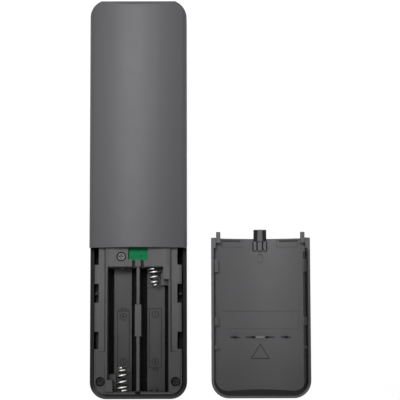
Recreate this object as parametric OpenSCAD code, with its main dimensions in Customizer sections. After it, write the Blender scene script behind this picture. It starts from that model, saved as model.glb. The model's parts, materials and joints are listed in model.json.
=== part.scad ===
// A universal remote control lying face down, its battery cover taken off and turned over beside it.
// Lengths are in millimetres. The origin is the middle of the flat front face.
// +Y points to the infrared end, +X to the right as seen from behind, +Z out of the back.

/* [Body] */
// Overall length
body_len = 157; // [154:1:164]
// Overall width
body_w = 38.3; // [37.5:0.1:41]
// Thickness from the front face to the top of the crowned back
body_t = 17.5; // [17.4:0.1:19]
// Corner radius of the outline
corner_r = 6.6; // [5.5:0.1:8]
// Radius of the crown across the back
crown_r = 48; // [44:1:60]
// Radius that rolls the back into the sides
edge_r = 3; // [2.8:0.1:3.4]
// Radius that rolls the back into the ends
end_r = 4; // [3:0.1:5]
// Wall thickness of the rear shell and of the cover
wall = 1.6; // [1.4:0.1:1.8]
// Height of the seam above the front face
seam_z = 8; // [7.5:0.1:8.4]
// Distance of the rear shell's lower edge from the lower end
seam_d = 59; // [58.5:0.1:61]
// How far the front shell stands in from the rear shell's outline
front_inset = 0.15; // [0.1:0.05:0.5]
// Thickness of the front face
front_t = 2; // [1.8:0.1:2.2]
// Thickness of the front shell's side walls
front_wall = 1.6; // [1.4:0.1:1.7]
// Radius round the edge of the front face
front_edge_r = 1.5; // [1:0.1:1.8]
// Height of the tongue that locates the rear shell on the front shell
tongue_h = 0.7; // [0.5:0.1:1]
// Thickness of that tongue
tongue_t = 0.7; // [0.5:0.05:0.8]
// Clearance round the tongue
tongue_gap = 0.1; // [0.05:0.05:0.2]
// Distance of the tongue's ends from the battery tray
tongue_d = 1; // [0.6:0.1:1.5]

/* [Battery bay] */
// Diameter of one cell
cell_d = 10.5; // [10.5:0.1:10.6]
// Room beside each cell, in all
cell_play = 0.8; // [0.6:0.1:1]
// Length of the bay between its end walls
bay_len = 48.7; // [48:0.1:50]
// Thickness of the end wall below the bay
bay_end_wall = 0.8; // [0.8:0.1:1.2]
// Thickness of the wall between the cells
divider_t = 1.2; // [1:0.1:1.3]
// Width of the thick block on that wall
block_w = 2.4; // [2:0.1:2.6]
// Length of that block
block_len = 12.4; // [10:0.1:14]
// Distance of that block from the lower end of the bay
block_d = 21.6; // [18:0.1:24]
// Height of that block above the divider
block_rise = 0.6; // [0.4:0.1:0.8]
// Height of the top of the divider
divider_z = 12.4; // [11.5:0.1:13]
// Height of the plateau round the bay
plateau_z = 14.1; // [13.8:0.1:14.2]
// Height of the two side rails
rail_z = 12.5; // [12:0.1:12.8]
// Distance of the rails' inner edge from the middle
rail_x = 12.7; // [12.6:0.1:13]
// Distance of the rails' lower end from the lower end of the body
rail_d = 18.5; // [17:0.1:19]
// Distance of the hollow sides from the lower end of the body
hollow_d = 11.5; // [11:0.1:13]
// Thickness of the tray's skin under the plateau
tray_skin = 1.6; // [1.4:0.1:1.8]
// Thickness of the tray's upright walls
tray_wall = 1.2; // [1:0.1:1.3]
// Gap between the tray and the inside of the cover
cover_gap = 0.5; // [0.4:0.05:0.6]
// How far the tray reaches in under the rear shell
shelf_len = 8.2; // [8:0.1:9]
// Width of the strip that each cell lies on
strip_w = 7; // [6.4:0.1:7.4]
// How far the right strip stands out from the middle of its cell
strip_shift = 0.6; // [0:0.1:0.8]
// Room between a cell and the inside of the cover
cell_top_gap = 0.7; // [0.5:0.1:0.8]
// Width of the window that shows the contact board
window_w = 7.6; // [7:0.1:8]
// Distance of the window from the upper end of the bay
window_d = 2.8; // [2.5:0.1:3]
// Distance of the window from the tray's upper edge
window_margin = 1; // [0.8:0.1:1.2]
// Width of the two contact slots between the window and the bay
slot_w = 1.1; // [1:0.05:1.2]
// Distance of those slots from the middle
slot_x = 1.65; // [1.6:0.05:1.7]
// Depth of the hook notches in from the side of the tray
notch_in = 1.7; // [1.6:0.1:1.8]
// Height of the floor of those notches
notch_z = 3; // [2.6:0.1:4]
// Distance of the lowest notch from the lower end of the body
notch_low_d = 19.6; // [19.4:0.1:20]
// Length of the lowest notch
notch_low_len = 6.7; // [6.5:0.1:7]
// Distance of the middle notch from the lower end of the body
notch_mid_d = 37.6; // [37.2:0.1:38]
// Length of the middle notch
notch_mid_len = 7.4; // [7:0.1:7.8]
// Length of the post that stands in the middle notch
post_len = 1.2; // [1:0.1:2]
// Height of the top of that post
post_z = 7.5; // [7:0.1:9.5]
// Distance of the highest notch from the lower end of the body
notch_high = 52.4; // [51.8:0.1:53]
// Clearance round the cover's hooks in the groove along the tray's side
hook_room = 0.15; // [0.1:0.05:0.2]
// Height of the low rebate along the tray's lower end
rebate_z = 12; // [11.6:0.1:12.1]
// How far that rebate reaches past the end wall
rebate_in = 0.3; // [0.2:0.1:0.5]
// Width of the corner block beside each spring
corner_block_w = 2.1; // [1.8:0.1:2.2]
// Length of that corner block
corner_block_len = 4.8; // [4:0.1:5.5]
// Width of the low ledge beyond the corner block
ledge_w = 3.1; // [2.6:0.1:3.2]
// Length of that ledge
ledge_len = 2.2; // [1.5:0.1:2.6]
// Height of that ledge
ledge_z = 7.2; // [6.5:0.1:7.3]
// Width of the notch in the end wall
end_notch_w = 2; // [1.6:0.1:2.4]
// Depth of that notch
end_notch_h = 3; // [2.8:0.1:3.4]
// Thickness of the end wall behind that notch
end_notch_skin = 0.2; // [0.15:0.05:0.3]

/* [Contacts] */
// Thickness of the contact plates
plate_t = 0.4; // [0.3:0.05:0.45]
// Width of each contact plate
plate_w = 6.6; // [6:0.1:6.7]
// How far each contact plate reaches below the middle of the cell
plate_below = 3.3; // [3:0.1:3.5]
// Clearance between the bridge plate and the foot of the divider
foot_gap = 0.2; // [0.1:0.05:0.3]
// Clearance between the bridge plate and the divider
plate_gap = 0.1; // [0.05:0.05:0.2]
// Height at which a plate's arm starts, above the middle of the cell
arm_rise = 0.5; // [0.3:0.1:0.8]
// How far a plate's arm laps the plate
arm_lap = 1; // [0.8:0.1:1.4]
// How far a tail reaches past the edge of the window, under the contact board
tail_end = 1.2; // [1:0.1:1.4]
// Width of the tail that runs under the contact board
tail_w = 0.8; // [0.6:0.05:0.9]
// Radius of the pressed dimple on a positive contact
dimple_r = 1.5; // [1.2:0.1:1.5]
// Height of that dimple
dimple_h = 0.6; // [0.4:0.1:0.8]
// Wire of the two springs
wire_d = 0.6; // [0.5:0.05:0.6]
// Outside diameter of a spring at its base
spring_d0 = 5.4; // [5:0.1:5.6]
// Outside diameter of a spring at its tip
spring_d1 = 3.8; // [3.4:0.1:4.2]
// Length of the lower left spring
spring_len_a = 9.4; // [8.6:0.1:9.6]
// Length of the upper right spring
spring_len_b = 6.9; // [6.8:0.1:7.4]
// Turns of the lower left spring
spring_turns_a = 5; // [4:1:5]
// Turns of the upper right spring
spring_turns_b = 4; // [3:1:4]
// Height of the bend where a spring leaves its plate
spring_bend = 0.7; // [0.6:0.05:0.7]

/* [Screws] */
// Distance of the two lower screws from the middle
screw_x = 14.6; // [14.4:0.1:14.8]
// Distance of the two lower screws from the lower end
screw_d = 7; // [6.6:0.1:7.4]
// Distance of the upper screw to the left of the middle
top_screw_x = 6.5; // [6.45:0.05:7.2]
// Distance of the upper screw from the bay
top_screw_d = 3.9; // [3.7:0.1:4.1]
// Diameter of a screw head
head_d = 2.9; // [2.6:0.1:3]
// Height of a screw head
head_h = 1; // [0.8:0.1:1.2]
// Diameter of a screw shank
shank_d = 1.7; // [1.5:0.1:1.8]
// Length of a screw under its head
shank_len = 6.6; // [6:0.1:7]
// Clearance below the tip of a screw
tip_gap = 0.4; // [0.3:0.1:0.6]
// Half length of the crossed recess in a screw head
cross_half = 0.9; // [0.7:0.1:1]
// Width of that recess
cross_w = 0.4; // [0.3:0.05:0.5]
// Depth of that recess
cross_h = 0.6; // [0.4:0.1:0.7]
// Clearance of the shank in the front shell's boss
shank_gap = 0.05; // [0.03:0.01:0.08]
// Diameter of the counterbores
bore_d = 3.6; // [3.4:0.1:3.8]
// Diameter of the clearance holes
hole_d = 2.1; // [2:0.1:2.3]
// Depth of the upper counterbore
top_bore_h = 1.2; // [1.1:0.1:1.4]
// Height of the seats of the lower screws
low_seat_z = 10; // [9.6:0.1:10.2]
// Thickness of tray under a screw head
seat_t = 2.6; // [2:0.1:3]
// Diameter of the front shell's bosses
boss_d = 4.4; // [4:0.1:4.6]
// Clearance round a boss
boss_gap = 0.2; // [0.15:0.05:0.3]

/* [Boards] */
// Thickness of the circuit boards
board_t = 1; // [0.8:0.1:1.2]
// Clearance between the boards and the walls
board_gap = 0.5; // [0.4:0.1:0.7]
// Thickness of the keypad membrane
membrane_t = 0.8; // [0.6:0.1:1]
// Width of the contact board
contact_w = 9.6; // [9:0.1:9.8]
// Length of the contact board
contact_len = 9.2; // [9:0.1:9.6]
// How far the contact board reaches under the lower edge of its window
contact_lap = 0.3; // [0.2:0.05:0.5]
// Offset of the contact board to the right
contact_x = 0.9; // [0.8:0.05:1]
// Side of a link pin
pin_w = 0.6; // [0.5:0.05:0.7]
// Distance of the link pins from the contact board's upper edge
pin_d = 1.1; // [0.8:0.1:1.4]
// Pitch of the link pins
pin_pitch = 2.54; // [2.5:0.01:2.6]
// Side of the main chip
chip_w = 7; // [5:0.5:8]
// Height of the main chip
chip_h = 1.2; // [0.8:0.1:1.6]
// Place of the main chip across the board
chip_x = 2; // [-2:0.5:6]
// Place of the main chip along the board
chip_y = 30; // [24:0.5:36]
// Width of the radio can
can_w = 11; // [9:0.5:12]
// Length of the radio can
can_len = 14; // [10:0.5:16]
// Height of the radio can
can_h = 1.9; // [1.5:0.1:2.5]
// Place of the radio can across the board
can_x = 4; // [-4:0.5:6]
// Place of the radio can along the board
can_y = 52; // [48:0.5:56]
// Width of the crystal
crystal_w = 3.2; // [2.5:0.1:4]
// Length of the crystal
crystal_len = 1.6; // [1.2:0.1:2.5]
// Height of the crystal
crystal_h = 0.8; // [0.6:0.1:1.2]
// Place of the crystal across the board
crystal_x = -6.5; // [-10:0.5:-5]
// Place of the crystal along the board
crystal_y = 34; // [26:0.5:38]
// Diameter of the capacitors
cap_d = 4; // [3.5:0.1:5]
// Height of the capacitors
cap_h = 5.4; // [4.5:0.1:6]
// Place of the capacitors across the board
cap_x = -9; // [-11:0.5:-7]
// Place of the lower capacitor along the board
cap_y = 4; // [0:0.5:8]
// Spacing of the capacitors
cap_pitch = 8; // [6:0.5:10]
// Diameter of the infrared lamp
lamp_d = 3; // [2.8:0.1:3.2]
// Length of the infrared lamp's straight body
lamp_len = 2.2; // [2:0.1:2.3]
// Width of the infrared lamp's leads
lead_w = 0.5; // [0.4:0.05:0.6]
// Length of those leads behind the lamp
lead_len = 1; // [0.8:0.1:1.2]
// Length of their feet on the circuit board
lead_foot = 2.2; // [1.8:0.1:2.6]
// Clearance between those leads and the circuit board's slot
lead_gap = 0.2; // [0.15:0.05:0.3]
// Clearance between the infrared lamp and its window
lamp_gap = 0.4; // [0.3:0.1:0.6]
// Width of the infrared window
irw_w = 12; // [10:0.1:14]
// Height of the infrared window
irw_h = 4; // [3.6:0.1:4.2]
// Thickness of the flange behind the infrared window
irw_flange = 0.7; // [0.6:0.1:0.9]
// How far that flange reaches past the opening
irw_edge = 0.8; // [0.6:0.1:0.9]
// How far the infrared window stands out of the front shell
irw_proud = 0.2; // [0.1:0.05:0.25]
// Clearance round the infrared window
irw_gap = 0.1; // [0.05:0.01:0.15]
// Distance of the status lamp and the microphone from the middle
sense_x = 4.6; // [4.4:0.1:5]
// Distance of the status lamp and the microphone from the upper end
sense_d = 5.4; // [5.2:0.1:5.5]
// Diameter of the light pipe
pipe_d = 1.8; // [1.5:0.1:2]
// How far the membrane reaches below the lowest row of keys
membrane_edge = 2.5; // [1.5:0.1:3.5]
// Clearance round the status lamp and the microphone in the membrane
sense_gap = 0.4; // [0.3:0.1:0.5]
// Width of the status lamp
led_w = 1.6; // [1.4:0.1:1.8]
// Length of the status lamp
led_len = 0.9; // [0.8:0.1:1]
// Height of the status lamp
led_h = 0.6; // [0.5:0.1:0.7]
// Width of the microphone
mic_w = 3; // [2.6:0.1:3.4]
// Length of the microphone
mic_len = 2.2; // [1.9:0.1:2.4]
// Height of the microphone
mic_h = 0.9; // [0.7:0.1:1]
// Diameter of the microphone's hole
mic_hole_d = 1; // [0.8:0.1:1.2]

/* [Keys] */
// How far the key tops stand in from the front face
key_recess = 0.25; // [0.15:0.05:0.4]
// Travel of a key
key_travel = 0.8; // [0.6:0.05:0.9]
// Gap round a key in its opening
key_gap = 0.3; // [0.25:0.05:0.35]
// Gap between a key's flange and the front face
flange_gap = 0.15; // [0.1:0.05:0.2]
// Thickness of a key's flange
flange_t = 0.6; // [0.5:0.1:0.7]
// How far a key's flange reaches out
flange_w = 0.5; // [0.4:0.05:0.6]
// Diameter of the pusher behind a key
pusher_d = 3; // [2.6:0.1:3.2]
// Length of that pusher
pusher_len = 0.85; // [0.8:0.05:1]
// Gap that a pressed key leaves to the membrane
press_gap = 0.05; // [0.03:0.01:0.1]
// Radius of the domed key tops
dome_r = 26; // [22:1:40]
// Distance of the outer key columns from the middle
col_x = 11; // [10.8:0.1:11.2]
// Diameter of the round keys
round_d = 7.8; // [7:0.1:8.6]
// Width of the oblong keys
bar_w = 8.4; // [8:0.1:8.6]
// Height of the oblong keys
bar_h = 5.6; // [5:0.1:6.2]
// Corner radius of the oblong keys
bar_r = 2.4; // [2:0.1:2.8]
// Width of the colour keys
small_w = 6; // [5.6:0.1:6.2]
// Height of the colour keys
small_h = 3.8; // [3.4:0.1:4.4]
// Corner radius of the colour keys
small_r = 1.6; // [1.2:0.1:1.8]
// Spacing of the colour keys
small_pitch = 8.2; // [8:0.1:8.4]
// Radius of the ok key
ok_r = 5.2; // [4.8:0.1:5.6]
// Inner radius of the direction keys
pad_in = 7; // [6.8:0.1:7.4]
// Outer radius of the direction keys
pad_out = 12.4; // [12:0.1:14]
// Width of the web between two direction keys
pad_web = 1.3; // [1.2:0.1:1.5]
// Width of a rocker
rocker_w = 8.6; // [8.2:0.1:8.8]
// Length of a rocker
rocker_len = 17; // [15:0.5:20]
// Corner radius of a rocker
rocker_r = 4; // [3.4:0.1:4.05]
// Radius of a rocker's pins
pivot_r = 0.6; // [0.5:0.05:0.7]
// Radial clearance of a rocker's pins
pivot_gap = 0.08; // [0.05:0.01:0.1]
// Height of a rocker's axis
pivot_z = 3.1; // [3:0.05:3.2]
// Depth of a rocker behind its axis
rocker_back = 0.5; // [0.3:0.1:0.55]
// Thickness of the ears that carry a rocker's pins
ear_t = 0.9; // [0.8:0.05:1]
// Half length of those ears
ear_half = 1.5; // [1.3:0.1:1.7]
// Height of those ears behind a rocker's axis
ear_back = 1; // [0.95:0.05:1.1]
// Spacing of the mute key and the info key
mid_pitch = 8.4; // [7.6:0.1:9.4]
// Distance of the lowest row of keys from the battery tray's wall
field_low = 8.7; // [6:0.1:10]
// Distance of the highest row of keys from the upper end
field_high = 7.6; // [7.5:0.1:9]

/* [Battery cover] */
// How far the cover's outline stands out from the rear shell's
cover_flare = 0.3; // [0.1:0.05:0.4]
// Gap between the cover and the rear shell's edge, and over the front shell's rim
cover_edge_gap = 0.15; // [0.1:0.05:0.25]
// Length of the lip that tucks under the rear shell
lip_len = 3.5; // [3:0.1:3.6]
// Thickness of the rear shell where it covers the lip
lap_t = 0.8; // [0.7:0.05:0.85]
// Clearance between the lip and the rear shell
lap_gap = 0.15; // [0.1:0.05:0.2]
// Thickness of the lip's side walls
lip_side = 0.6; // [0.6:0.05:0.8]
// Width of the cover's rim
rim_t = 1; // [0.9:0.05:1.2]
// How far the cover's side walls lean in from the rim to the height of its floor
side_lean = 1.4; // [1.2:0.1:1.6]
// How far the cover's end wall leans in from the rim to the height of its floor
end_lean = 2.6; // [2:0.1:2.7]
// Radius of the floor's lower corners
floor_r = 4.5; // [4:0.1:5]
// Height of the runners that carry the rim on under the rear shell
runner_h = 1.3; // [1:0.1:1.4]
// Depth of the two long grooves in the lip
lip_groove = 0.25; // [0.2:0.05:0.25]
// Distance of those grooves from the middle
groove_x = 6.6; // [6:0.1:8]
// Length of those grooves
groove_len = 8.4; // [6:0.1:8.6]
// Distance of those grooves from the cover's edge
groove_in = 0.2; // [0.2:0.1:0.4]
// Distance of those grooves from the lip's edge
groove_out = 0.6; // [0.4:0.1:0.8]
// How far the two tabs reach past the lip
tab_len = 2.3; // [2:0.1:2.8]
// Width of a tab
tab_w = 1.8; // [1.3:0.1:1.9]
// How far a tab's root reaches back from the lip's edge
tab_root = 1.5; // [1.2:0.1:2]
// How far a tab stands in from the inside of the cover's wall
tab_inset = 0.1; // [0.05:0.05:0.2]
// Height of the tabs above the front face
tab_z = 9.6; // [9.4:0.1:9.8]
// Thickness of the tabs
tab_h = 2.2; // [1.8:0.1:2.4]
// Width of the latch
latch_w = 5.1; // [4.8:0.1:5.4]
// How far the latch reaches past the lip
latch_len = 3.5; // [3:0.1:3.6]
// How far the latch's head reaches back from the lip's edge
latch_back = 1.2; // [1:0.1:1.4]
// How far the latch's root reaches back from the cover's edge
latch_root = 1.2; // [1:0.1:2]
// Thickness of the latch
latch_h = 2; // [1.6:0.1:2.2]
// Width of the raised strip along the middle of the latch's head
latch_strip_w = 2; // [1.6:0.1:2.4]
// Height of that strip
latch_strip_h = 0.7; // [0.5:0.1:0.8]
// Thickness of the latch's root
latch_root_t = 0.9; // [0.7:0.1:1.1]
// How far the latch lies below the lip's outer surface
latch_drop = 0.45; // [0.4:0.05:0.6]
// Width of the two slots in the latch's root
latch_slot_w = 0.5; // [0.4:0.05:0.6]
// Distance of those slots from the middle
latch_slot_x = 1.1; // [1:0.05:1.2]
// How far the hooks reach in from the cover's wall
hook_in = 1; // [0.8:0.1:1.1]
// Height of the hooks above the front face
hook_z = 9.9; // [9.7:0.1:10.2]
// Thickness of the hooks
hook_h = 1; // [0.8:0.1:1.1]
// Distances of the three hooks on each side from the rear shell's edge
hook_d = [4.9, 27.6, 38.7]; // [4:0.1:40]
// Lengths of those hooks
hook_len = [5.1, 3.4, 1.5]; // [1:0.1:5.5]
// Diameter of the round mark inside the cover
mark_d = 2.7; // [2.4:0.1:3]
// Distance of that mark from the rear shell's edge
mark_y = 4.7; // [4.4:0.1:5]
// Height of the small raised features inside the cover
relief = 0.25; // [0.2:0.05:0.3]
// Distance of the thicker band inside the cover from the rear shell's edge
band_d = 25.3; // [24:0.1:27]
// Length of that band
band_len = 6.9; // [6:0.1:8]
// Thickness of that band
band_t = 0.12; // [0.1:0.02:0.2]
// Distance of that band from the start of the edge radii
band_margin = 1; // [0.8:0.1:1.5]
// Distance of the cross rib from the rear shell's edge
rib_y = 35.5; // [35:0.1:36]
// Width of the cross rib
rib_t = 0.5; // [0.4:0.05:0.6]
// Height of the middle of the cross rib
rib_h = 0.8; // [0.6:0.1:1]
// Half length of the raised middle of the cross rib
rib_mid = 1.9; // [1.6:0.1:2.2]
// Half length of the low part of the cross rib
rib_half = 5.6; // [5:0.1:6]
// How deep the ribs' feet run into the cover's wall
rib_root = 1.2; // [1.2:0.05:1.3]
// Distance of the two side ribs from the middle
side_rib_x = 8.2; // [7.6:0.1:8.6]
// Length of those side ribs
side_rib_len = 3.8; // [3:0.1:4]
// Where the cover lies: distance of its middle from the remote's
cover_x = 48; // [46:0.1:52]
// Where the cover lies: distance from its closed place, towards the upper end
cover_y = 0.7; // [0:0.1:3]

/* [Hidden] */
$fn = 96;
end_y = -body_len / 2;
seam_y = end_y + seam_d;
big = 400;
// How far a shape runs into the one it grows from, and how far a cut runs past the face it opens
bite = 0.5;
cut = 1;

// Back: centres of the crown and of the edge radii
crown_c = body_t - crown_r;
edge_x = body_w / 2 - edge_r;
edge_z = crown_c + sqrt(pow(crown_r - edge_r, 2) - pow(edge_x, 2));
wedge = 2 * crown_r / (crown_r - edge_r);
// The end radii start just above the crown, so that the two never only graze
end_lift = 0.06;

// Bay: the tray's outline stands in from the rear shell's by its inset
tray_inset = wall + cover_gap;
tray_side = body_w / 2 - tray_inset;
bay_half = divider_t / 2 + cell_d + cell_play;
bay_y0 = end_y + tray_inset + bay_end_wall;
bay_y1 = bay_y0 + bay_len;
shelf_y = seam_y + shelf_len;
cell_x = (divider_t / 2 + bay_half) / 2;
cell_z = body_t - wall - cell_top_gap - cell_d / 2;
strip_z = cell_z - cell_d / 2;
skin_z = plateau_z - tray_skin;
tail_z = skin_z - board_t - plate_t;
plate_z0 = cell_z - plate_below;
plate_z1 = tail_z + plate_t;
notch_x = tray_side - notch_in;
window_y = bay_y1 + window_d;
notch_low_y = end_y + notch_low_d;
notch_mid_y = end_y + notch_mid_d;
notch_high_y = end_y + notch_high;
post_y = notch_mid_y + (notch_mid_len - post_len) / 2;
top_screw_y = bay_y1 + top_screw_d;
low_screw_y = end_y + screw_d;
top_seat_z = plateau_z - top_bore_h;
SCREWS = [
    [-top_screw_x, top_screw_y, top_seat_z],
    [-screw_x, low_screw_y, low_seat_z],
    [screw_x, low_screw_y, low_seat_z]
];

// Keys and boards: heights above the front face
flange_z = front_t + flange_gap;
pusher_z = flange_z + flange_t;
membrane_z = pusher_z + pusher_len + key_travel + press_gap;
board_z = membrane_z + membrane_t;
board_top = board_z + board_t;
board_y0 = bay_y1 + tray_wall + board_gap;
contact_y = window_y - contact_lap;
board_w = body_w - 2 * (front_inset + front_wall + board_gap);
sense_y = body_len / 2 - sense_d;
irw_z = front_t + irw_edge + irw_h / 2;
wall_y = body_len / 2 - front_inset;
wall_in_y = wall_y - front_wall;
board_y1 = wall_in_y - irw_flange - board_gap;
board_r = corner_r - front_inset - front_wall - board_gap;
lamp_y = wall_in_y - irw_flange - lamp_gap - lamp_d / 2 - lamp_len;
lamp_slot_w = lamp_d + 2 * board_gap;
lead_y = lamp_y - lead_len;
lamp_slot_y = lead_y - lead_gap;

// Key rows, from the lowest to the highest, share out the field between the tray and the upper end
ROWS = [small_h, bar_h, rocker_len, round_d, 2 * pad_out, round_d];
function rows_below(i) = i > 0 ? ROWS[i - 1] + rows_below(i - 1) : 0;
field_y0 = bay_y1 + tray_wall + field_low;
field_y1 = body_len / 2 - field_high;
row_web = (field_y1 - field_y0 - rows_below(len(ROWS))) / (len(ROWS) - 1);
function row_y(i) = field_y0 + rows_below(i) + i * row_web + ROWS[i] / 2;
row_colour = row_y(0);
row_play = row_y(1);
row_rock = row_y(2);
row_mute = row_rock + mid_pitch / 2;
row_info = row_rock - mid_pitch / 2;
row_back = row_y(3);
row_pad = row_y(4);
row_power = row_y(5);
membrane_y = field_y0 - membrane_edge;

// Each key: name, kind, position. Seen from the front, -X is to the right
KEYS = [
    ["power_key", "round", [col_x, row_power]],
    ["voice_key", "round", [0, row_power]],
    ["source_key", "round", [-col_x, row_power]],
    ["up_key", "up", [0, row_pad]],
    ["left_key", "left", [0, row_pad]],
    ["down_key", "down", [0, row_pad]],
    ["right_key", "right", [0, row_pad]],
    ["ok_key", "ok", [0, row_pad]],
    ["back_key", "round", [col_x, row_back]],
    ["home_key", "round", [0, row_back]],
    ["menu_key", "round", [-col_x, row_back]],
    ["volume_rocker", "rocker", [col_x, row_rock]],
    ["channel_rocker", "rocker", [-col_x, row_rock]],
    ["mute_key", "bar", [0, row_mute]],
    ["info_key", "bar", [0, row_info]],
    ["rewind_key", "bar", [col_x, row_play]],
    ["play_key", "bar", [0, row_play]],
    ["forward_key", "bar", [-col_x, row_play]],
    ["red_key", "small", [1.5 * small_pitch, row_colour]],
    ["green_key", "small", [0.5 * small_pitch, row_colour]],
    ["yellow_key", "small", [-0.5 * small_pitch, row_colour]],
    ["blue_key", "small", [-1.5 * small_pitch, row_colour]]
];
function key_of(name) = KEYS[search([name], KEYS)[0]];
function pad_turn(kind) = kind == "right" ? 90 : kind == "down" ? 180 : kind == "left" ? 270 : 0;
function is_pad(kind) = kind == "up" || kind == "left" || kind == "down" || kind == "right";

// Cover: in its closed place, then turned over and laid beside the remote
cover_top = body_t + cover_flare;
cover_y1 = seam_y - cover_edge_gap;
cover_z0 = seam_z + cover_edge_gap;
lip_inset = lap_t + lap_gap;
lip_y = seam_y + lip_len;
cover_in = body_w / 2 - wall;
lip_half = body_w / 2 - lip_inset - lip_side;
rim_half = body_w / 2 + cover_flare - rim_t;
rim_y = end_y - cover_flare + rim_t;
floor_z = body_t - wall;
shoulder_y = cover_y1 - bite;
latch_z1 = body_t - wall - lap_gap - latch_drop;
function inner_z(x) = crown_c + sqrt(pow(crown_r - wall, 2) - pow(x, 2));

// Plan shapes

module rounded_rect(w, l, r) {
    square([w - 2 * r, l], center = true);
    square([w, l - 2 * r], center = true);
    for (sx = [-1, 1], sy = [-1, 1])
        translate([sx * (w / 2 - r), sy * (l / 2 - r)])
            circle(r = r);
}

module outline(inset) {
    rounded_rect(body_w - 2 * inset, body_len - 2 * inset, corner_r - inset);
}

module block(x0, x1, y0, y1, z0, z1) {
    translate([x0, y0, z0])
        cube([x1 - x0, y1 - y0, z1 - z0]);
}

module both_sides() {
    children();
    mirror([1, 0, 0])
        children();
}

// Section of the back, X across and Z up: a crown tangent to the edge radii, then upright sides
module back_section(inset) {
    half = body_w / 2 - inset;
    intersection() {
        translate([-body_w, -cut])
            square([2 * body_w, 2 * body_t]);
        union() {
            intersection() {
                translate([0, crown_c])
                    circle(r = crown_r - inset, $fn = 360);
                polygon([
                    [0, crown_c],
                    [wedge * edge_x, crown_c + wedge * (edge_z - crown_c)],
                    [-wedge * edge_x, crown_c + wedge * (edge_z - crown_c)]
                ]);
            }
            for (s = [-1, 1])
                translate([s * edge_x, edge_z])
                    circle(r = edge_r - inset);
            translate([-half, -2 * cut])
                square([2 * half, edge_z + 2 * cut]);
        }
    }
}

// Side view of the back, Y across and Z up: the ends roll over
module back_profile(inset) {
    half = body_len / 2 - inset;
    r = end_r - inset;
    top = body_t - inset + end_lift;
    translate([-half, -cut])
        square([2 * half, top - r + cut]);
    translate([-half + r, -cut])
        square([2 * (half - r), top + cut]);
    for (s = [-1, 1])
        translate([s * (half - r), top - r])
            circle(r = r);
}

// The back as a solid above a height, standing in from its outer surface by an inset
module back_solid(inset, y0, y1, z0) {
    difference() {
        intersection() {
            translate([0, y1, 0])
                rotate([90, 0, 0])
                    linear_extrude(y1 - y0)
                        back_section(inset);
            translate([0, 0, -2 * cut])
                linear_extrude(body_t + 4 * cut)
                    outline(inset);
            translate([-body_w, 0, 0])
                rotate([90, 0, 90])
                    linear_extrude(2 * body_w)
                        back_profile(inset);
        }
        if (z0 > 0)
            block(-big, big, -big, big, -3 * cut, z0);
    }
}

module front_section(half) {
    translate([-half, front_edge_r])
        square([2 * half, seam_z - front_edge_r]);
    translate([-half + front_edge_r, 0])
        square([2 * (half - front_edge_r), seam_z]);
    for (s = [-1, 1])
        translate([s * (half - front_edge_r), front_edge_r])
            circle(r = front_edge_r);
}

module front_solid() {
    intersection() {
        linear_extrude(seam_z)
            outline(front_inset);
        translate([0, body_len, 0])
            rotate([90, 0, 0])
                linear_extrude(2 * body_len)
                    front_section(body_w / 2 - front_inset);
        translate([-body_w, 0, 0])
            rotate([90, 0, 90])
                linear_extrude(2 * body_w)
                    front_section(body_len / 2 - front_inset);
    }
}

// Keys

// One direction key's plan, pointing up, grown all round
module pad_plan(grow) {
    apex = pad_web / sqrt(2) + (key_gap - grow) * sqrt(2);
    intersection() {
        difference() {
            circle(r = pad_out + grow);
            circle(r = pad_in - grow);
        }
        polygon([[0, apex], [big, apex + big], [-big, apex + big]]);
    }
}

module key_plan(kind, grow) {
    if (kind == "round")
        circle(r = round_d / 2 + grow);
    if (kind == "ok")
        circle(r = ok_r + grow);
    if (kind == "bar")
        rounded_rect(bar_w + 2 * grow, bar_h + 2 * grow, bar_r + grow);
    if (kind == "small")
        rounded_rect(small_w + 2 * grow, small_h + 2 * grow, small_r + grow);
    if (kind == "rocker")
        rounded_rect(rocker_w + 2 * grow, rocker_len + 2 * grow, rocker_r + grow);
    if (is_pad(kind))
        rotate([0, 0, pad_turn(kind)])
            pad_plan(grow);
}

module domed_cap(kind) {
    intersection() {
        translate([0, 0, key_recess])
            linear_extrude(pusher_z - key_recess)
                key_plan(kind, 0);
        translate([0, 0, key_recess + dome_r])
            sphere(r = dome_r);
    }
}

module push_key(name) {
    row = key_of(name);
    kind = row[1];
    reach = is_pad(kind) ? (pad_in + pad_out) / 2 : 0;
    translate([row[2][0], row[2][1], 0]) {
        if (is_pad(kind))
            translate([0, 0, key_recess])
                linear_extrude(pusher_z - key_recess)
                    key_plan(kind, 0);
        else
            domed_cap(kind);
        translate([0, 0, flange_z])
            linear_extrude(flange_t)
                key_plan(kind, flange_w);
        rotate([0, 0, pad_turn(kind)])
            translate([0, reach, flange_z])
                cylinder(d = pusher_d, h = flange_t + pusher_len);
    }
}

module rocker(name) {
    row = key_of(name);
    span = rocker_w + 2 * (key_gap + ear_t);
    translate([row[2][0], row[2][1], 0]) {
        translate([0, 0, key_recess])
            linear_extrude(pivot_z + rocker_back - key_recess)
                key_plan("rocker", 0);
        translate([-span / 2, 0, pivot_z])
            rotate([0, 90, 0])
                cylinder(r = pivot_r, h = span);
    }
}

module rocker_ears(name) {
    row = key_of(name);
    inner = rocker_w / 2 + key_gap;
    translate([row[2][0], row[2][1], 0])
        both_sides()
            difference() {
                block(inner, inner + ear_t, -ear_half, ear_half, front_t - bite, pivot_z + ear_back);
                translate([inner - cut, 0, pivot_z])
                    rotate([0, 90, 0])
                        cylinder(r = pivot_r + pivot_gap, h = ear_t + 2 * cut);
            }
}

// Shells

function boss_top(screw) = screw[2] - seat_t;

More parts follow.
